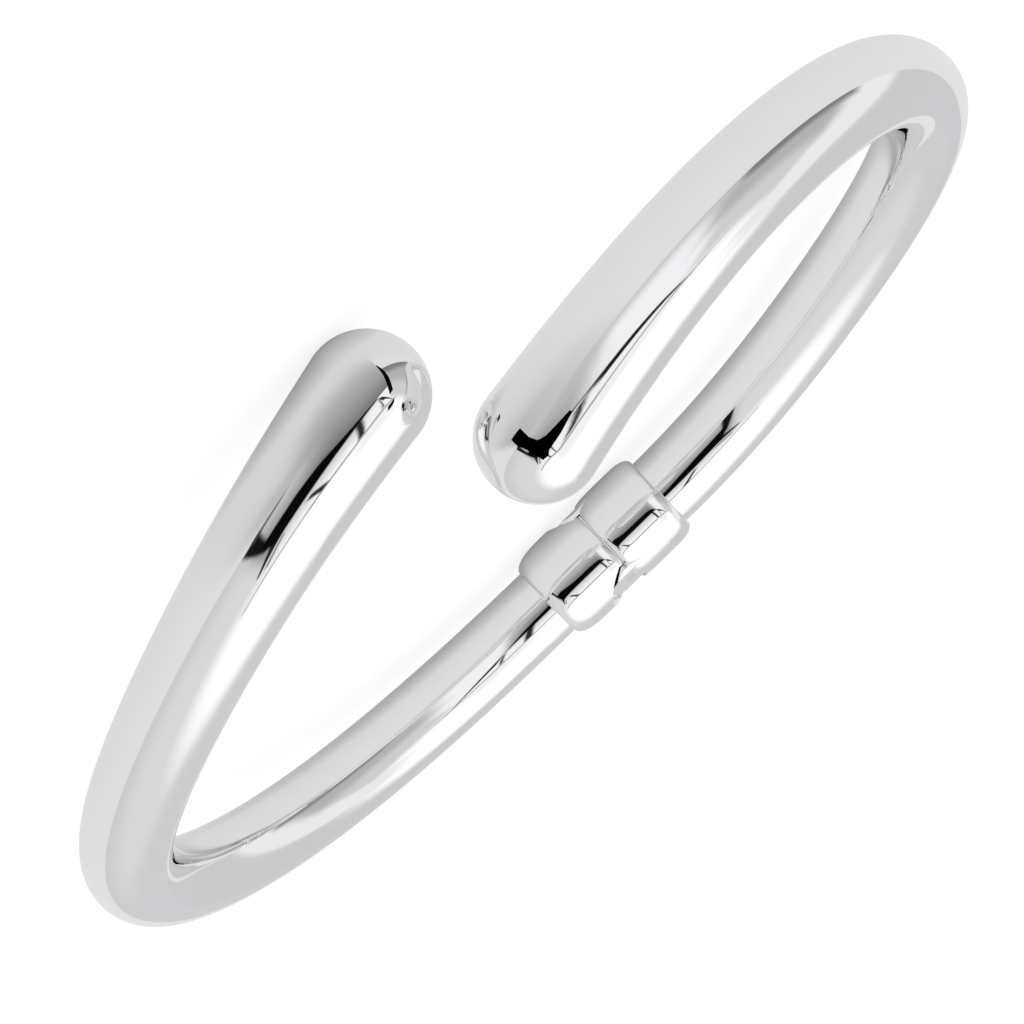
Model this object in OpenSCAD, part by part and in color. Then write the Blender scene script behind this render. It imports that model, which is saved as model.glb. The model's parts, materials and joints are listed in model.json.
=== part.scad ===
// Hinged bypass bangle: two tapered round arms that swell to rounded ends,
// joined at the back by a fork and tongue hinge inside two short barrels.
// The ring is drawn flat first: X along the oval, Y from hinge to opening, Z along the ring's axis.
// It is then tipped back as it rests by itself on its side: on the two barrels and the lower
// rounded end.

/* [Oval] */
// Half length of the oval, to the middle of the tube
half_length = 32; // [28:0.5:36]
// Half depth of the oval, to the middle of the tube
half_depth = 25.3; // [22:0.1:29]
// Straight run on each side of the hinge axis
hinge_run = 5; // [4.8:0.1:7]
// How far the hinge sits to the right of the oval's middle
hinge_shift = 0.5; // [0:0.1:1]
// Fullness of the right arm at its two corners
right_fullness = 0.017; // [-0.03:0.001:0.05]
// How much fuller the right arm is near its rounded end than near the hinge
right_lean = 0.062; // [-0.05:0.002:0.1]
// Fullness of the left arm at its two corners
left_fullness = -0.009; // [-0.03:0.001:0.05]
// How much fuller the left arm is near its rounded end than near the hinge
left_lean = -0.02; // [-0.05:0.002:0.1]

/* [Bypass] */
// Angle that the right arm sweeps, from the hinge round to its rounded end
right_sweep = 186.5; // [170:0.5:190]
// Angle that the left arm sweeps
left_sweep = 185; // [170:0.5:190]
// Rise of the right rounded end above the middle plane
right_offset = 4.05; // [3.6:0.05:6]
// Drop of the left rounded end below the middle plane
left_offset = 4.3; // [3.8:0.05:6]
// Sway of each arm the other way at the far corner
sway = 0.7; // [0:0.02:1.2]

/* [Tube] */
// Radius of the tube where it enters a barrel
root_r = 2.46; // [2:0.02:2.6]
// Radius of the tube round the corners
tube_r = 2.56; // [2.2:0.01:2.9]
// Radius of the rounded ends
bulb_r = 3.51; // [3:0.01:3.7]

/* [Barrels] */
// Outer radius of both barrels
barrel_r = 3.2; // [2.95:0.05:3.5]
// Length of the fork barrel, on the right arm
fork_l = 4.7; // [4.2:0.1:5]
// Length of the tongue barrel, on the left arm
tongue_l = 5.2; // [4.6:0.1:5.4]
// Fall of the fork barrel from its crest to its shoulder at the tube
fork_shoulder = 0.65; // [0.3:0.05:0.8]
// Fall of the tongue barrel from its crest to its shoulder at the tube
tongue_shoulder = 0.75; // [0.3:0.05:0.75]
// Fall of both barrels from their crest to the seam
rim = 0.35; // [0.1:0.05:0.5]
// Squareness of the fork barrel's profile towards the tube, where 2 is an ellipse
fork_square = 4.5; // [2.5:0.5:8]
// Squareness of the tongue barrel's profile towards the tube
tongue_square = 3; // [2.5:0.5:8]
// Squareness of both profiles towards the seam
rim_square = 5; // [2.5:0.5:8]
// Depth that each tube is let into its barrel
socket_depth = 1.5; // [1:0.1:1.8]

/* [Hinge] */
// Largest opening angle of the hinge
open_angle = 45; // [20:1:50]
// Radius of the hinge pin
pin_r = 0.6; // [0.4:0.05:0.8]
// Half width of the tongue between the ears
tongue_half_w = 2.1; // [1.7:0.05:2.2]
// Distance from the middle plane to the flat outer face of each ear
ear_face = 2.65; // [2.5:0.05:2.9]
// Radius of each ear round the hinge axis
ear_r = 2.1; // [1.9:0.02:2.3]
// Radius of the knuckle on the tongue
knuckle_r = 1.9; // [1.6:0.05:2]

/* [Fits] */
// Gap across the seam when the hinge is closed
seam_gap = 0.08; // [0.05:0.01:0.15]
// Gap round the ears in the tongue barrel
ear_gap = 0.22; // [0.15:0.01:0.3]
// Gap on each side of the tongue
side_gap = 0.05; // [0.03:0.01:0.1]
// Gap round the knuckle in its pocket
knuckle_gap = 0.06; // [0.04:0.01:0.12]
// Radial room of the pin in the tongue
pin_run = 0.04; // [0.02:0.01:0.08]
// Radial room of the pin in the ears, where it is fixed
pin_seat = 0.01; // [0.005:0.005:0.02]
// Radial room of a tube in its socket
tube_seat = 0.03; // [0.01:0.01:0.06]

/* [Hidden] */

// Fineness of the swept arms and of the exact rounds
sides = 32;
rings = 66;
dome_rings = 8;
exact = 96;
profile_steps = 12;
// Power of the taper from the root, and of the swell, rise and drop towards the rounded ends
root_power = 4;
end_power = 4.1;
// Small step along an arm, as a share of its length, for its direction
step = 0.002;
// Angle of each relief face past half the opening, and reach of cutting tools past the metal
relief_margin = 0.5;
reach = 1;
// Balls along an arm, for the outline's middle
samples = 100;

// One row per arm: side, sweep, end offset, fullness, lean, barrel length
right = [1, right_sweep, right_offset, right_fullness, right_lean, fork_l];
left = [-1, left_sweep, left_offset, left_fullness, left_lean, tongue_l];

function unit(v) = v / norm(v);

// Distance from the middle of the arm's oval to the middle of its tube at angle a from the hinge
function oval_r(arm, a) =
    (1 + pow(sin(2 * a), 2) * (arm[3] - arm[4] * cos(a)))
    / sqrt(pow(sin(a) / (half_length - arm[0] * hinge_shift - hinge_run), 2) + pow(cos(a) / half_depth, 2));

// Middle of the tube at share t of the arm, 0 at the hinge and 1 at the rounded end
function mid(arm, t) =
    let (a = t * arm[1], r = oval_r(arm, a))
    [
        arm[0] * (hinge_run + r * sin(a)),
        -r * cos(a),
        arm[0] * (arm[2] * pow(max(t, 0), end_power) - sway * pow(sin(a), 2))
    ];

function heading(arm, t) = unit(mid(arm, t + step) - mid(arm, t - step));

function tube_radius(t) =
    tube_r - (tube_r - root_r) * pow(1 - t, root_power) + (bulb_r - tube_r) * pow(t, end_power);

// Stations along an arm: [middle, direction, radius], with the straight plug first and the dome last
function stations(arm) =
    let (tip = mid(arm, 1), way = heading(arm, 1))
    concat(
        [[[arm[0] * (arm[5] - socket_depth), -half_depth, 0], [arm[0], 0, 0], root_r]],
        [for (i = [0:rings])
            let (t = i / rings)
            [mid(arm, t), i == 0 ? [arm[0], 0, 0] : heading(arm, t), tube_radius(t)]],
        [for (i = [1:dome_rings - 1])
            let (a = 90 * i / dome_rings)
            [tip + bulb_r * sin(a) * way, way, bulb_r * cos(a)]]
    );

// Circle of points round one station
function ring(s) =
    let (across = unit(cross(s[1], [0, 0, 1])), up = cross(across, s[1]))
    [for (k = [0:sides - 1])
        let (a = 360 * k / sides)
        s[0] + s[2] * (cos(a) * across + sin(a) * up)];

module arm_sweep(arm)
{
    list = stations(arm);
    n = len(list);
    pole = mid(arm, 1) + bulb_r * heading(arm, 1);
    points = concat([for (s = list) each ring(s)], [pole]);
    walls = [for (i = [0:n - 2], k = [0:sides - 1])
        let (b = (k + 1) % sides)
        [i * sides + k, i * sides + b, (i + 1) * sides + b, (i + 1) * sides + k]];
    cap = [for (k = [0:sides - 1]) [(n - 1) * sides + k, (n - 1) * sides + (k + 1) % sides, n * sides]];
    foot = [[for (k = [0:sides - 1]) sides - 1 - k]];
    polyhedron(points = points, faces = concat(foot, walls, cap), convexity = 6);
}

// Angle that the ring is tipped back, so that the barrels and the lower rounded end touch one floor
reach_y = mid(left, 1)[1] + half_depth;
drop = -mid(left, 1)[2];
tip_back = asin((bulb_r - barrel_r) / norm([reach_y, drop])) + atan2(drop, reach_y);

// Place of a point of the flat ring once the ring is tipped back
function tipped(p) =
    [p[0], p[1] * cos(tip_back) - p[2] * sin(tip_back), p[1] * sin(tip_back) + p[2] * cos(tip_back)];

// Middle of the hinge in the flat ring
hinge = [0, -half_depth, 0];

// Balls that fill the outline: [middle, radius] along both arms and at the hinge
balls = concat(
    [for (arm = [left, right], i = [0:samples]) [tipped(mid(arm, i / samples)), tube_radius(i / samples)]],
    [[tipped(hinge), barrel_r]]
);
function centre_of(axis) =
    (max([for (b = balls) b[0][axis] + b[1]]) + min([for (b = balls) b[0][axis] - b[1]])) / 2;
lift = barrel_r - tipped(hinge)[2];

module laid()
{
    translate([-centre_of(0), -centre_of(1), lift]) rotate([tip_back, 0, 0]) children();
}

// Half of a barrel's profile, from its crest to one end: [radius, distance along the barrel]
function half_profile(crest, reach_out, fall, square) =
    [for (i = [0:profile_steps])
        let (a = 90 * i / profile_steps)
        [barrel_r - fall * (1 - cos(a)), crest + reach_out * pow(sin(a), 2 / square)]];

// Crowned barrel along +X or -X from the seam
module barrel(side, length, shoulder, square)
{
    start = seam_gap / 2;
    crest = (start + length) / 2;
    to_seam = half_profile(crest, start - crest, rim, rim_square);
    to_tube = half_profile(crest, length - crest, shoulder, square);
    rotate([0, side * 90, 0])
        rotate_extrude($fn = exact)
            polygon(concat(
                [[0, start]],
                [for (i = [profile_steps:-1:1]) to_seam[i]],
                to_tube,
                [[0, length]]));
}

module socket(side, length)
{
    translate([side * (length - socket_depth - tube_seat), 0, 0])
        rotate([0, side * 90, 0])
            cylinder(h = socket_depth + tube_seat + reach, r = root_r + tube_seat, $fn = exact);
}

// Upright round bar on the hinge axis
module on_axis(r, half_w)
{
    translate([0, 0, -half_w]) cylinder(h = 2 * half_w, r = r, $fn = exact);
}

// Wedge outside the hinge axis that lets one barrel swing past the other
module relief()
{
    a = open_angle / 2 + relief_margin;
    far = 2 * barrel_r;
    translate([0, 0, -far])
        linear_extrude(2 * far)
            polygon([[0, 0], [-far * tan(a), -far], [far * tan(a), -far]]);
}

// Space of the two ears, wider by the gaps where it is cut out of the tongue barrel
module ear_space(r, inner, outer)
{
    for (up = [-1, 1])
        translate([0, 0, up > 0 ? inner : -outer]) cylinder(h = outer - inner, r = r, $fn = exact);
}

module left_arm()
{
    color("silver") laid() arm_sweep(left);
}

module right_arm()
{
    color("silver") laid() arm_sweep(right);
}

module tongue_barrel()
{
    color("gainsboro") laid() translate(hinge)
        difference()
        {
            union()
            {
                difference()
                {
                    barrel(-1, tongue_l, tongue_shoulder, tongue_square);
                    relief();
                    ear_space(ear_r + ear_gap, tongue_half_w, barrel_r + reach);
                }
                on_axis(knuckle_r, tongue_half_w);
            }
            on_axis(pin_r + pin_run, tongue_half_w + reach);
            socket(-1, tongue_l);
        }
}

module fork_barrel()
{
    color("gainsboro") laid() translate(hinge)
        difference()
        {
            union()
            {
                difference()
                {
                    barrel(1, fork_l, fork_shoulder, fork_square);
                    relief();
                }
                intersection()
                {
                    rotate([0, 90, 0]) cylinder(h = 4 * ear_r, r = barrel_r, center = true, $fn = exact);
                    ear_space(ear_r, tongue_half_w + side_gap, ear_face);
                }
            }
            on_axis(knuckle_r + knuckle_gap, tongue_half_w + side_gap);
            on_axis(pin_r + pin_seat, barrel_r + reach);
            socket(1, fork_l);
        }
}

module hinge_pin()
{
    color("silver") laid() translate(hinge) on_axis(pin_r, ear_face);
}

left_arm();
right_arm();
tongue_barrel();
fork_barrel();
hinge_pin();
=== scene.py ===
import json
import math
from collections import namedtuple

import bmesh
import bpy
import numpy as np
from mathutils import Matrix, Vector


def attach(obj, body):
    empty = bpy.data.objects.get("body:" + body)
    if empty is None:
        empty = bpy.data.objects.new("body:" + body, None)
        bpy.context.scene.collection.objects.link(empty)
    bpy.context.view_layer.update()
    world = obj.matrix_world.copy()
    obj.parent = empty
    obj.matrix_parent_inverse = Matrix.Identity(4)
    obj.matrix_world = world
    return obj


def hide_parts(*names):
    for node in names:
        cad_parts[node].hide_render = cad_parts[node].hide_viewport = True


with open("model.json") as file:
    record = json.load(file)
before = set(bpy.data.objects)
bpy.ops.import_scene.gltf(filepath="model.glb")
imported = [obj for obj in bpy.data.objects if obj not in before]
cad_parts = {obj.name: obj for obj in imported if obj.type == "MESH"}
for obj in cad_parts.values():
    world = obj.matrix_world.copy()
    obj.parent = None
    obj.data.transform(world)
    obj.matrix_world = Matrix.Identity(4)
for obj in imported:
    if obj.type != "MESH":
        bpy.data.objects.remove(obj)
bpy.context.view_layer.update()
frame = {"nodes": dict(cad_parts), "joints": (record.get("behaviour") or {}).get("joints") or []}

MM = 0.001


# Sizes of the bangle in millimetres, the same as the solids have

HALF_LENGTH = 32
HALF_DEPTH = 25.3
HINGE_RUN = 5
HINGE_SHIFT = 0.5
SWAY = 0.7
ROOT_R = 2.46
TUBE_R = 2.56
BULB_R = 3.51
ROOT_POWER = 4
END_POWER = 4.1
SOCKET_DEPTH = 1.5
BARREL_R = 3.2
RIM = 0.35
RIM_SQUARE = 5
OPEN_ANGLE = 45
RELIEF_MARGIN = 0.5
PIN_R = 0.6
TONGUE_HALF_W = 2.1
EAR_FACE = 2.65
EAR_R = 2.1
KNUCKLE_R = 1.9
SEAM_GAP = 0.08
EAR_GAP = 0.22
SIDE_GAP = 0.05
KNUCKLE_GAP = 0.06
PIN_RUN = 0.04
PIN_SEAT = 0.01
TUBE_SEAT = 0.03
REACH = 1
# Depth that the ears lie under the barrel's surface, so that the two never coincide
HAIR = 0.003

Arm = namedtuple("Arm", "side sweep offset fullness lean barrel_l shoulder square")
LEFT = Arm(side=-1, sweep=185, offset=4.3, fullness=-0.009, lean=-0.02,
           barrel_l=5.2, shoulder=0.75, square=3)
RIGHT = Arm(side=1, sweep=186.5, offset=4.05, fullness=0.017, lean=0.062,
            barrel_l=4.7, shoulder=0.65, square=4.5)

# Fineness of the meshes, and the angles in degrees beyond which an edge stays sharp
ARM_SIDES = 112
ARM_RINGS = 260
DOME_RINGS = 28
ROUND = 256
ARC = 36
ARM_SHARP = 50
BARREL_SHARP = 25


# Frames of the hinge and of the flat ring, tipped back as the hinge joint says
hinge = frame["joints"][0]
tip_back = math.asin(hinge["axis"][1])
HINGE = Matrix.Translation(hinge["pos_m"]) @ Matrix.Rotation(tip_back, 4, "X") @ Matrix.Scale(MM, 4)
RING = HINGE @ Matrix.Translation((0, HALF_DEPTH, 0))


def mesh_object(name, vertices, faces, place):
    mesh = bpy.data.meshes.new(name)
    mesh.from_pydata([tuple(v) for v in vertices], [], faces)
    mesh.transform(place)
    mesh.update()
    thing = bpy.data.objects.new(name, mesh)
    bpy.context.scene.collection.objects.link(thing)
    return thing


def shade(thing, sharp):
    """Smooth shading, with edges kept sharp beyond an angle in degrees."""
    thing.data.shade_smooth()
    thing.data.set_sharp_from_angle(angle=math.radians(sharp))


# Arms

def middle(arm, t):
    """Middle of the tube at shares t of the arm, 0 at the hinge and 1 at the rounded end."""
    a = np.radians(t * arm.sweep)
    s, c = np.sin(a), np.cos(a)
    fuller = 1 + np.sin(2 * a) ** 2 * (arm.fullness - arm.lean * c)
    half_run = HALF_LENGTH - arm.side * HINGE_SHIFT - HINGE_RUN
    r = fuller / np.sqrt((s / half_run) ** 2 + (c / HALF_DEPTH) ** 2)
    rise = arm.offset * t ** END_POWER - SWAY * s ** 2
    return np.stack([arm.side * (HINGE_RUN + r * s), -r * c, arm.side * rise], axis=1)


def tube_radius(t):
    """Thickness from the middle at shares t of the arm: slimmer at the hinge, swelling at the end."""
    return TUBE_R - (TUBE_R - ROOT_R) * (1 - t) ** ROOT_POWER + (BULB_R - TUBE_R) * t ** END_POWER


def arm_mesh(name, arm):
    """The whole arm as one closed tube: flat foot in the socket, tapered sweep, round end."""
    t = np.linspace(0, 1, ARM_RINGS)
    line = middle(arm, t)
    way = np.gradient(line, axis=0)
    way[0] = (arm.side, 0, 0)
    radius = tube_radius(t)
    dome = np.radians(np.linspace(0, 90, DOME_RINGS + 1)[1:-1])
    tip_way = way[-1] / np.linalg.norm(way[-1])
    foot = np.array([[arm.side * (arm.barrel_l - SOCKET_DEPTH), -HALF_DEPTH, 0]])
    line = np.vstack([foot, line, line[-1] + BULB_R * np.sin(dome)[:, None] * tip_way])
    way = np.vstack([way[:1], way, np.repeat([tip_way], len(dome), axis=0)])
    radius = np.concatenate([radius[:1], radius, BULB_R * np.cos(dome)])
    way /= np.linalg.norm(way, axis=1)[:, None]
    across = np.cross(way, (0, 0, 1))
    across /= np.linalg.norm(across, axis=1)[:, None]
    up = np.cross(across, way)
    around = np.radians(np.arange(ARM_SIDES) * 360 / ARM_SIDES)[None, :, None]
    outwards = np.cos(around) * across[:, None] + np.sin(around) * up[:, None]
    rings = line[:, None] + radius[:, None, None] * outwards
    pole = line[-1] + (BULB_R - BULB_R * math.sin(dome[-1])) * tip_way
    vertices = np.vstack([rings.reshape(-1, 3), [pole]])
    faces = [tuple(range(ARM_SIDES - 1, -1, -1))]
    for i in range(len(line) - 1):
        for k in range(ARM_SIDES):
            low, high, after = i * ARM_SIDES, (i + 1) * ARM_SIDES, (k + 1) % ARM_SIDES
            faces.append((low + k, low + after, high + after, high + k))
    last = (len(line) - 1) * ARM_SIDES
    for k in range(ARM_SIDES):
        faces.append((last + k, last + (k + 1) % ARM_SIDES, len(vertices) - 1))
    thing = mesh_object(name, vertices, faces, RING)
    recalculate(thing)
    shade(thing, ARM_SHARP)
    return thing


# Barrels

def revolve(name, profile, axis):
    """Closed solid turned from (along, radius) points round an axis through the hinge's middle."""
    around = np.radians(np.arange(ROUND) * 360 / ROUND)
    vertices = []
    for along, radius in profile:
        ring = np.stack([np.full(ROUND, along), radius * np.cos(around), radius * np.sin(around)], axis=1)
        vertices.append(ring if axis == "X" else ring[:, (1, 2, 0)])
    last = (len(profile) - 1) * ROUND
    faces = [tuple(range(ROUND - 1, -1, -1)), tuple(range(last, last + ROUND))]
    for i in range(len(profile) - 1):
        for k in range(ROUND):
            low, high, after = i * ROUND, (i + 1) * ROUND, (k + 1) % ROUND
            faces.append((low + k, low + after, high + after, high + k))
    thing = mesh_object(name, np.vstack(vertices), faces, Matrix.Identity(4))
    recalculate(thing)
    return thing


def recalculate(thing):
    """Turn every face outwards."""
    work = bmesh.new()
    work.from_mesh(thing.data)
    bmesh.ops.recalc_face_normals(work, faces=work.faces)
    work.to_mesh(thing.data)
    work.free()


def half_profile(crest, reach_out, fall, square):
    """Half of a barrel's profile, from its crest to one end."""
    angles = np.radians(np.linspace(0, 90, ARC))
    return [(crest + reach_out * math.sin(a) ** (2 / square), BARREL_R - fall * (1 - math.cos(a)))
            for a in angles]


def barrel_blank(name, arm):
    """The whole round barrel of one arm, before anything is cut out of it."""
    start = SEAM_GAP / 2
    crest = (start + arm.barrel_l) / 2
    to_seam = half_profile(crest, start - crest, RIM, RIM_SQUARE)
    to_tube = half_profile(crest, arm.barrel_l - crest, arm.shoulder, arm.square)
    profile = [(arm.side * along, radius) for along, radius in to_seam[:0:-1] + to_tube]
    return revolve(name, profile, "X")


def rod(name, r, low, high, axis):
    """Round rod through the hinge's middle, from low to high along an axis."""
    return revolve(name, [(low, r), (high, r)], axis)


def prism(name, outline, low, high):
    """Upright block over an outline, from low to high."""
    n = len(outline)
    vertices = [(x, y, z) for z in (low, high) for x, y in outline]
    faces = [tuple(range(n - 1, -1, -1)), tuple(range(n, 2 * n))]
    faces += [(k, (k + 1) % n, n + (k + 1) % n, n + k) for k in range(n)]
    thing = mesh_object(name, vertices, faces, Matrix.Identity(4))
    recalculate(thing)
    return thing


def relief():
    """Wedge cut from the outer side, so that the faces meet only when the hinge is open."""
    a = math.tan(math.radians(OPEN_ANGLE / 2 + RELIEF_MARGIN))
    far = 2 * BARREL_R
    return prism("relief", [(0, 0), (-far * a, -far), (far * a, -far)], -far, far)


def combine(thing, tool, how):
    """Boolean of two solids, applied, with the tool thrown away."""
    step = thing.modifiers.new(how, "BOOLEAN")
    step.operation = how
    step.solver = "EXACT"
    step.object = tool
    bpy.context.view_layer.update()
    done = bpy.data.meshes.new_from_object(thing.evaluated_get(bpy.context.evaluated_depsgraph_get()))
    thing.modifiers.clear()
    old = thing.data
    thing.data = done
    bpy.data.meshes.remove(old)
    bpy.data.objects.remove(tool)


def socket(arm):
    """Hole in a barrel's end that takes the foot of its arm."""
    low = arm.barrel_l - SOCKET_DEPTH - TUBE_SEAT
    ends = sorted((arm.side * low, arm.side * (arm.barrel_l + REACH)))
    return rod("socket", ROOT_R + TUBE_SEAT, ends[0], ends[1], "X")


def finish_barrel(thing):
    """Put a barrel that was cut round the origin on the hinge."""
    thing.data.transform(HINGE)
    shade(thing, BARREL_SHARP)


def tongue_barrel():
    """Left barrel, notched above and below for the ears, with the knuckle that the pin runs in."""
    thing = barrel_blank("tongue_barrel_fine", LEFT)
    combine(thing, relief(), "DIFFERENCE")
    for low, high in ((TONGUE_HALF_W, BARREL_R + REACH), (-BARREL_R - REACH, -TONGUE_HALF_W)):
        combine(thing, rod("notch", EAR_R + EAR_GAP, low, high, "Z"), "DIFFERENCE")
    combine(thing, rod("knuckle", KNUCKLE_R, -TONGUE_HALF_W, TONGUE_HALF_W, "Z"), "UNION")
    combine(thing, rod("pin_hole", PIN_R + PIN_RUN, -BARREL_R, BARREL_R, "Z"), "DIFFERENCE")
    combine(thing, socket(LEFT), "DIFFERENCE")
    finish_barrel(thing)
    return thing


def fork_barrel():
    """Right barrel, with two ears that hold the pin and a pocket between them for the knuckle."""
    thing = barrel_blank("fork_barrel_fine", RIGHT)
    combine(thing, relief(), "DIFFERENCE")
    for side in (-1, 1):
        low, high = sorted((side * (TONGUE_HALF_W + SIDE_GAP), side * EAR_FACE))
        ear = rod("ear", EAR_R, low, high, "Z")
        combine(ear, rod("hull", BARREL_R - HAIR, -2 * EAR_R, 2 * EAR_R, "X"), "INTERSECT")
        combine(thing, ear, "UNION")
    half_w = TONGUE_HALF_W + SIDE_GAP
    past = BARREL_R + REACH
    combine(thing, rod("pocket", KNUCKLE_R + KNUCKLE_GAP, -half_w, half_w, "Z"), "DIFFERENCE")
    combine(thing, rod("pin_hole", PIN_R + PIN_SEAT, -past, past, "Z"), "DIFFERENCE")
    combine(thing, socket(RIGHT), "DIFFERENCE")
    finish_barrel(thing)
    return thing


# Node helpers

class Nodes:
    """Small helper that adds nodes to a tree and links their sockets."""

    def __init__(self, tree):
        self.tree = tree

    def add(self, kind, **settings):
        node = self.tree.nodes.new(kind)
        for key, value in settings.items():
            setattr(node, key, value)
        return node

    def feed(self, place, value):
        """Link a socket into another, or set a plain value on it."""
        if isinstance(value, bpy.types.NodeSocket):
            self.tree.links.new(value, place)
        else:
            place.default_value = value

    def math(self, operation, *values):
        node = self.add("ShaderNodeMath", operation=operation)
        for place, value in zip(node.inputs, values):
            self.feed(place, value)
        return node.outputs[0]

    def ramp(self, value, low, high, to_low=0.0, to_high=1.0, smooth=True):
        """Map from low..high to to_low..to_high, held outside."""
        node = self.add("ShaderNodeMapRange", interpolation_type="SMOOTHSTEP" if smooth else "LINEAR")
        for place, given in zip(node.inputs, (value, low, high, to_low, to_high)):
            self.feed(place, given)
        return node.outputs[0]

    def blend(self, factor, a, b):
        """Number between a and b."""
        node = self.add("ShaderNodeMix", data_type="FLOAT")
        self.feed(node.inputs[0], factor)
        self.feed(node.inputs[2], a)
        self.feed(node.inputs[3], b)
        return node.outputs[0]

    def tint(self, factor, a, b):
        """Colour between a and b."""
        node = self.add("ShaderNodeMix", data_type="RGBA")
        self.feed(node.inputs[0], factor)
        self.feed(node.inputs[6], a)
        self.feed(node.inputs[7], b)
        return node.outputs[2]

    def noise(self, place, scale, detail):
        node = self.add("ShaderNodeTexNoise")
        self.feed(node.inputs["Vector"], place)
        self.feed(node.inputs["Scale"], scale)
        self.feed(node.inputs["Detail"], detail)
        return node.outputs[0]


def bare_material(name):
    material = bpy.data.materials.new(name)
    material.use_nodes = True
    material.node_tree.nodes.clear()
    return material, Nodes(material.node_tree)


def new_material(name):
    material, nodes = bare_material(name)
    shader = nodes.add("ShaderNodeBsdfPrincipled")
    nodes.feed(nodes.add("ShaderNodeOutputMaterial").inputs[0], shader.outputs[0])
    return material, nodes, shader


# Polished silver: the scales are in marks a metre, and the spread is a share of the roughness

TONE = (0.93, 0.925, 0.915)
PIN_TONE = (0.82, 0.82, 0.82)
ARM_ROUGH = 0.03
BARREL_ROUGH = 0.035
PIN_ROUGH = 0.12
WIPE_SCALE = 420
WIPE_DETAIL = 5
WIPE_LOW = 0.35
WIPE_HIGH = 0.65
WIPE_SPREAD = 0.3
WIPE_SHADE = 0.97
RIPPLE_SCALE = 900
RIPPLE_DETAIL = 2
RIPPLE_HEIGHT = 0.001 * MM


def silver(name, tone, rough):
    """Hand-polished silver: faint wipe marks in the roughness and a very fine ripple."""
    material, nodes, shader = new_material(name)
    place = nodes.add("ShaderNodeTexCoord").outputs["Object"]
    wipe = nodes.noise(place, WIPE_SCALE, WIPE_DETAIL)
    ripple = nodes.noise(place, RIPPLE_SCALE, RIPPLE_DETAIL)
    colour = nodes.tint(wipe, (*(WIPE_SHADE * t for t in tone), 1), (*tone, 1))
    low, high = rough * (1 - WIPE_SPREAD), rough * (1 + WIPE_SPREAD)
    bump = nodes.add("ShaderNodeBump")
    nodes.feed(bump.inputs["Strength"], 1)
    nodes.feed(bump.inputs["Distance"], RIPPLE_HEIGHT)
    nodes.feed(bump.inputs["Height"], ripple)
    nodes.feed(shader.inputs["Metallic"], 1)
    nodes.feed(shader.inputs["Base Color"], colour)
    nodes.feed(shader.inputs["Roughness"], nodes.ramp(wipe, WIPE_LOW, WIPE_HIGH, low, high))
    nodes.feed(shader.inputs["Normal"], bump.outputs[0])
    return material


# Light table: its own light for the silver and for the eye, and less of it for the silver in a patch
# in front of the opening (painted shade) and where something touches the table (painted contact shadow).
# The patch is centred on a direction and fades between two angles from it and two distances from the
# middle.

LIGHT_TINT = (0.995, 1, 1.03, 1)
WHITE = (1, 1, 1, 1)
FLOOR_HALF = 3
FLOOR_BASE = 0.3
FLOOR_ROUGH = 0.9
FLOOR_GLOW = 0.53
FLOOR_GLOW_SEEN = 0.8
FLOOR_PAINTED_SHADE = 0.26
DIM_AZIMUTH = -12
DIM_CORE = 12
DIM_EDGE = 30
DIM_NEAR = 22 * MM
DIM_FAR = 60 * MM
CONTACT_REACH = 2.5 * MM
CONTACT_GLOW = 0.3
CONTACT_SAMPLES = 4


def floor_material():
    """Pale light table: partly lit from below, so that shadows on it stay faint; its glow for the silver
    carries painted shade and a painted contact shadow.
    """
    material, nodes, shader = new_material("pale_floor")
    nodes.feed(shader.inputs["Base Color"], (FLOOR_BASE, FLOOR_BASE, FLOOR_BASE, 1))
    nodes.feed(shader.inputs["Roughness"], FLOOR_ROUGH)
    nodes.feed(shader.inputs["Specular IOR Level"], 0)
    place = nodes.add("ShaderNodeSeparateXYZ")
    nodes.feed(place.inputs[0], nodes.add("ShaderNodeTexCoord").outputs["Object"])
    x, y = place.outputs[0], place.outputs[1]
    turn = nodes.math("DEGREES", nodes.math("ARCTAN2", x, y))
    aside = nodes.math("ABSOLUTE", nodes.math("SUBTRACT", turn, DIM_AZIMUTH))
    squares = nodes.math("ADD", nodes.math("MULTIPLY", x, x), nodes.math("MULTIPLY", y, y))
    across = nodes.ramp(aside, DIM_CORE, DIM_EDGE, 1, 0)
    along = nodes.ramp(nodes.math("SQRT", squares), DIM_NEAR, DIM_FAR)
    # Painted shade: less glow for the silver in the patch in front of the opening
    painted_shade = nodes.math("MULTIPLY", nodes.math("MULTIPLY", across, along), FLOOR_PAINTED_SHADE)
    # Painted contact shadow: less glow for the silver where ambient occlusion finds something close
    contact_shadow = nodes.add("ShaderNodeAmbientOcclusion", samples=CONTACT_SAMPLES)
    nodes.feed(contact_shadow.inputs["Distance"], CONTACT_REACH)
    near = nodes.ramp(contact_shadow.outputs["AO"], 0, 1, CONTACT_GLOW, 1, smooth=False)
    mirrored = nodes.math("MULTIPLY", nodes.math("SUBTRACT", FLOOR_GLOW, painted_shade), near)
    seen = nodes.add("ShaderNodeLightPath").outputs["Is Camera Ray"]
    glow = nodes.blend(seen, mirrored, FLOOR_GLOW_SEEN)
    nodes.feed(shader.inputs["Emission Color"], nodes.tint(seen, LIGHT_TINT, WHITE))
    nodes.feed(shader.inputs["Emission Strength"], glow)
    return material


# Camera: its direction from the object in degrees, and what it aims at

CAMERA_AZIMUTH = 1.47
CAMERA_ELEVATION = 18.162
CAMERA_ROLL = 136.08
CAMERA_DISTANCE = 290 * MM
CAMERA_AIM = Vector((-1.725, -0.242, 5.588)) * MM
IMAGE_WIDTH = 1024
FOCAL_PIXELS = 5000
SENSOR = 36
CLIP_START = 0.01
CLIP_END = 20


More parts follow.
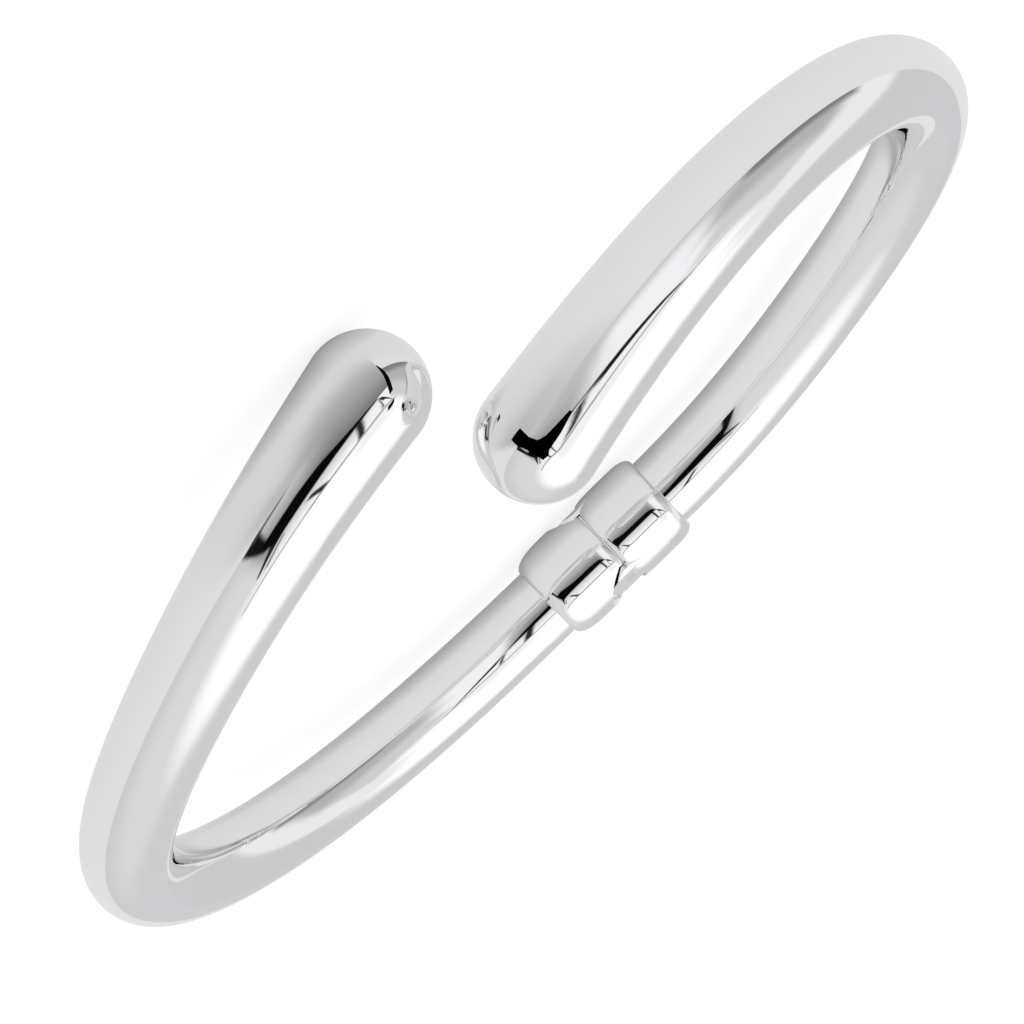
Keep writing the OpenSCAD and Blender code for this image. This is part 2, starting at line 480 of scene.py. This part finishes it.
def place_camera():
    """Camera at the photograph's angle, far off with a long lens."""
    a, e = math.radians(CAMERA_AZIMUTH), math.radians(CAMERA_ELEVATION)
    towards = Vector((math.sin(a) * math.cos(e), math.cos(a) * math.cos(e), math.sin(e)))
    lens = bpy.data.cameras.new("photo_camera")
    lens.lens = SENSOR * FOCAL_PIXELS / IMAGE_WIDTH
    lens.sensor_width = SENSOR
    lens.clip_start = CLIP_START
    lens.clip_end = CLIP_END
    camera = bpy.data.objects.new("photo_camera", lens)
    bpy.context.scene.collection.objects.link(camera)
    look = (-towards).to_track_quat("-Z", "Y").to_matrix().to_4x4()
    roll = Matrix.Rotation(math.radians(CAMERA_ROLL), 4, "Z")
    camera.matrix_world = Matrix.Translation(CAMERA_AIM + CAMERA_DISTANCE * towards) @ look @ roll
    bpy.context.scene.camera = camera


# Studio: a white tent with grey walls, an opening round the camera and folds over it.
# Each card is a flat patch of the tent, in degrees: (azimuth from the front to the right, elevation).
# level is its brightness as seen in the silver, from 0 for black to 1 for white, soft is the width of
# its edge in degrees, and strength is the share of what is behind it that it covers.
# A later card hangs in front of an earlier one.

Card = namedtuple("Card", "name level soft strength corners")
TENT = (
    Card("walls", 0.85, 20, 1, ((-200, -60), (200, -60), (200, 50), (-200, 50))),
    Card("low_walls", 0.80, 30, 1, ((-200, -60), (200, -60), (200, 12), (-200, 12))),
    Card("back_left", 0.80, 30, 1, ((-200, -60), (-150, -60), (-150, 45), (-200, 50))),
    Card("back_right", 0.79, 18, 1, ((128, -60), (200, -60), (200, 55), (128, 50))),
    Card("side_light", 0.92, 8, 1, ((102, -30), (130, -30), (124, 60), (88, 60))),
    Card("front_light", 0.95, 10, 1, ((6, -60), (52, -60), (48, 70), (12, 70))),
    Card("wedge", 0.81, 12, 1, ((42, -40), (106, -40), (90, 48), (44, 48))),
    Card("wedge_middle", 0.70, 18, 1, ((36, -40), (108, -40), (96, 26), (40, 26))),
    Card("front_foot", 0.76, 22, 1, ((8, -60), (50, -60), (50, 7), (8, 7))),
    Card("wedge_foot", 0.50, 9, 1, ((50, -40), (109, -40), (106, 5), (60, 9), (52, 7))),
    Card("opening", 0.76, 5, 1, ((-37, -60), (5, -60), (14, 36), (-37, 36))),
    Card("opening_middle", 0.66, 15, 1, ((-37, 9), (6, 9), (14, 37), (-37, 37))),
    Card("opening_top", 0.52, 10, 1, ((-37, 19), (6, 19), (14, 37), (-37, 37))),
    Card("leg", 0.07, 2, 1, ((-40.5, 1.5), (-33.5, 0.5), (-32, 30), (-35.5, 30))),
    Card("foot", 0.25, 3, 0.8, ((-38, -1), (-22, 0.2), (-25, 2.5), (-36, 5))),
    Card("bar", 0.03, 2, 1, (
        (-35, 20.5), (-20, 20.5), (-10, 23.5), (-2, 26.5), (8, 30.5), (17, 38.5), (-34, 38))),
    Card("left_spike", 0.12, 1.5, 1, ((-45, 43.5), (-34, 34), (-30, 38), (-44, 44.5))),
    Card("right_spike", 0.12, 1.5, 1, (
        (13, 34), (16, 38), (48, 52.5), (50, 53.5), (22, 46), (12, 40))),
    Card("fold_a", 0.15, 2, 1, ((-19, 43), (-16, 43), (-8, 56), (-13, 56))),
    Card("fold_b", 0.12, 2, 1, ((5, 37), (8, 37), (13, 56), (9, 56))),
    Card("fold_c", 0.20, 1.5, 1, ((16.5, 41), (18, 41), (24, 54), (22, 54))),
    Card("fold_d", 0.50, 2, 1, ((-42, 46), (-30, 40), (-29, 42), (-41, 48))),
    Card("hem_a", 0.60, 2.5, 1, ((-60, 51.5), (-20, 54.8), (-20, 57), (-60, 53))),
    Card("hem_b", 0.50, 2.5, 1, ((-20, 54.8), (5, 56.3), (5, 58.6), (-20, 57))),
    Card("hem_c", 0.55, 2.5, 1, ((5, 56.3), (30, 55), (30, 57.3), (5, 58.6))),
    Card("hem_d", 0.60, 2.5, 1, ((30, 55), (55, 50.3), (55, 52), (30, 57.3))),
    Card("hem_e", 0.80, 2.5, 1, ((55, 50.3), (85, 40), (85, 41.5), (55, 52))),
)


# Flags: small cards close to the rounded ends, for what these ends alone see of the opening.
# ahead is how far a flag hangs in front of the middle of its end, in millimetres. Its corners are
# across and up from there. reach is the longest reflection that shows it, low and high are its
# levels, and fade is the share of its width, its height and its reach over which it starts.

Flag = namedtuple("Flag", "name arm ahead reach fade low high corners")
FLAGS = (
    Flag("flag_dark", RIGHT, 6, 8, 0.01, 0, 0, (
        (-2.95, -0.8), (-0.7, -0.8), (-0.7, 0.9), (-0.2, 2), (0.8, 2.5), (2.9, 3), (3.1, 3.6),
        (1.9, 4.5), (0, 4.9), (-0.8, 6), (-2.35, 6), (-2.35, 2), (-2.65, 1.2), (-2.95, 0.8))),
    Flag("flag_grey", LEFT, 4.2, 8, 0.5, 0.86, 0.46, (
        (-7, -2), (2.6, -2), (2.6, 0.2), (2.65, 1.3), (2.45, 2.4), (2.4, 2.6), (-7, 2.6))),
    Flag("flag_leg", LEFT, 4.2, 5, 0.01, 0, 0, (
        (2.6, 0.1), (2.75, 0.1), (3.25, 1), (3.4, 2), (3.2, 3.8), (2.2, 3.8), (2.45, 2.4), (2.65, 1.3))),
)


# Light of the bare tent for the silver, and of the plain world for the floor and for the eye
TENT_WHITE = 1.1
TENT_MEAN = 0.9
BACKDROP = 0.97

# The screen's curve from light to brightness
SCREEN_FOOT = 0.055
SCREEN_POWER = 2.4


def linear(level):
    """Light that the silver sends back as the given brightness on the screen."""
    if level == 0:
        return 0
    return ((level + SCREEN_FOOT) / (1 + SCREEN_FOOT)) ** SCREEN_POWER / TONE[1]


def inside(nodes, card, azimuth, elevation):
    """Node for how far a direction is inside a card's outline: 0 outside, 1 inside."""
    centre = np.mean(card.corners, axis=0)
    nearest = None
    for a, b in zip(card.corners, card.corners[1:] + card.corners[:1]):
        normal = np.array((a[1] - b[1], b[0] - a[0]), dtype=float)
        normal /= np.linalg.norm(normal)
        normal *= math.copysign(1, normal @ (centre - a))
        rest = nodes.math("MULTIPLY_ADD", elevation, float(normal[1]), float(-normal @ a))
        away = nodes.math("MULTIPLY_ADD", azimuth, float(normal[0]), rest)
        nearest = away if nearest is None else nodes.math("MINIMUM", nearest, away)
    return nodes.ramp(nearest, -card.soft / 2, card.soft / 2, 0, card.strength)


def hang_tent():
    """World with the cards for the silver, and one plain light for everything else."""
    world = bpy.data.worlds.new("studio")
    bpy.context.scene.world = world
    world.use_nodes = True
    world.node_tree.nodes.clear()
    nodes = Nodes(world.node_tree)
    way = nodes.add("ShaderNodeSeparateXYZ")
    nodes.feed(way.inputs[0], nodes.add("ShaderNodeTexCoord").outputs["Generated"])
    azimuth = nodes.math("DEGREES", nodes.math("ARCTAN2", way.outputs[0], way.outputs[1]))
    elevation = nodes.math("DEGREES", nodes.math("ARCSINE", way.outputs[2]))
    light = TENT_WHITE
    for card in TENT:
        light = nodes.blend(inside(nodes, card, azimuth, elevation), light, linear(card.level))
    path = nodes.add("ShaderNodeLightPath")
    shown = nodes.add("ShaderNodeMixShader")
    nodes.feed(shown.inputs[0], path.outputs["Is Glossy Ray"])
    plain = nodes.blend(path.outputs["Is Camera Ray"], TENT_MEAN, BACKDROP)
    for slot, strength, tint in ((1, plain, WHITE), (2, light, LIGHT_TINT)):
        background = nodes.add("ShaderNodeBackground")
        nodes.feed(background.inputs["Color"], tint)
        nodes.feed(background.inputs["Strength"], strength)
        nodes.feed(shown.inputs[slot], background.outputs[0])
    out = nodes.add("ShaderNodeOutputWorld")
    nodes.feed(out.inputs[0], shown.outputs[0])


def flag_material(flag):
    """Light of its own between two heights, for short reflections only."""
    material, nodes = bare_material(flag.name)
    place = nodes.add("ShaderNodeSeparateXYZ")
    nodes.feed(place.inputs[0], nodes.add("ShaderNodeTexCoord").outputs["Generated"])
    across, up = place.outputs[0], place.outputs[2]
    light = nodes.add("ShaderNodeEmission")
    nodes.feed(light.inputs["Color"], LIGHT_TINT)
    nodes.feed(light.inputs["Strength"], nodes.blend(up, linear(flag.low), linear(flag.high)))
    length = nodes.add("ShaderNodeLightPath").outputs["Ray Length"]
    near = nodes.ramp(length, flag.reach * (1 - flag.fade) * MM, flag.reach * MM, 1, 0)
    within = nodes.math("MULTIPLY", nodes.ramp(across, 0, flag.fade), nodes.ramp(up, 0, flag.fade))
    shown = nodes.add("ShaderNodeMixShader")
    nodes.feed(shown.inputs[0], nodes.math("MULTIPLY", near, within))
    nodes.feed(shown.inputs[1], nodes.add("ShaderNodeBsdfTransparent").outputs[0])
    nodes.feed(shown.inputs[2], light.outputs[0])
    nodes.feed(nodes.add("ShaderNodeOutputMaterial").inputs[0], shown.outputs[0])
    return material


def hang(flag):
    """Flag in front of the end of its arm, for reflections alone."""
    tip = RING @ Vector(middle(flag.arm, np.array([1.0]))[0])
    corners = [tip + Vector((x, flag.ahead, z)) * MM for x, z in flag.corners]
    card = mesh_object(flag.name, corners, [tuple(range(len(corners)))], Matrix.Identity(4))
    card.data.materials.append(flag_material(flag))
    card.visible_camera = False
    card.visible_diffuse = False
    card.visible_shadow = False


# Pieces

def dress(piece, node, body, material):
    """Give a piece its material and its body, and hide the node that it stands for."""
    piece.data.materials.clear()
    piece.data.materials.append(material)
    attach(piece, body)
    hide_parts(node)


def lay_floor():
    """Table that the bangle lies on."""
    half = FLOOR_HALF
    corners = [(-half, -half, 0), (half, -half, 0), (half, half, 0), (-half, half, 0)]
    floor = mesh_object("floor", corners, [(0, 1, 2, 3)], Matrix.Identity(4))
    floor.data.materials.append(floor_material())


place_camera()
hang_tent()
for flag in FLAGS:
    hang(flag)
bpy.context.scene.view_settings.view_transform = "Standard"
lay_floor()

arm_silver = silver("polished_silver", TONE, ARM_ROUGH)
barrel_silver = silver("barrel_silver", TONE, BARREL_ROUGH)
pin_silver = silver("pin_silver", PIN_TONE, PIN_ROUGH)

dress(arm_mesh("left_arm_fine", LEFT), "left_arm", "left_half", arm_silver)
dress(arm_mesh("right_arm_fine", RIGHT), "right_arm", "right_half", arm_silver)
dress(tongue_barrel(), "tongue_barrel", "left_half", barrel_silver)
dress(fork_barrel(), "fork_barrel", "right_half", barrel_silver)

hinge_pin = frame["nodes"]["hinge_pin"]
hinge_pin.data.materials.clear()
hinge_pin.data.materials.append(pin_silver)
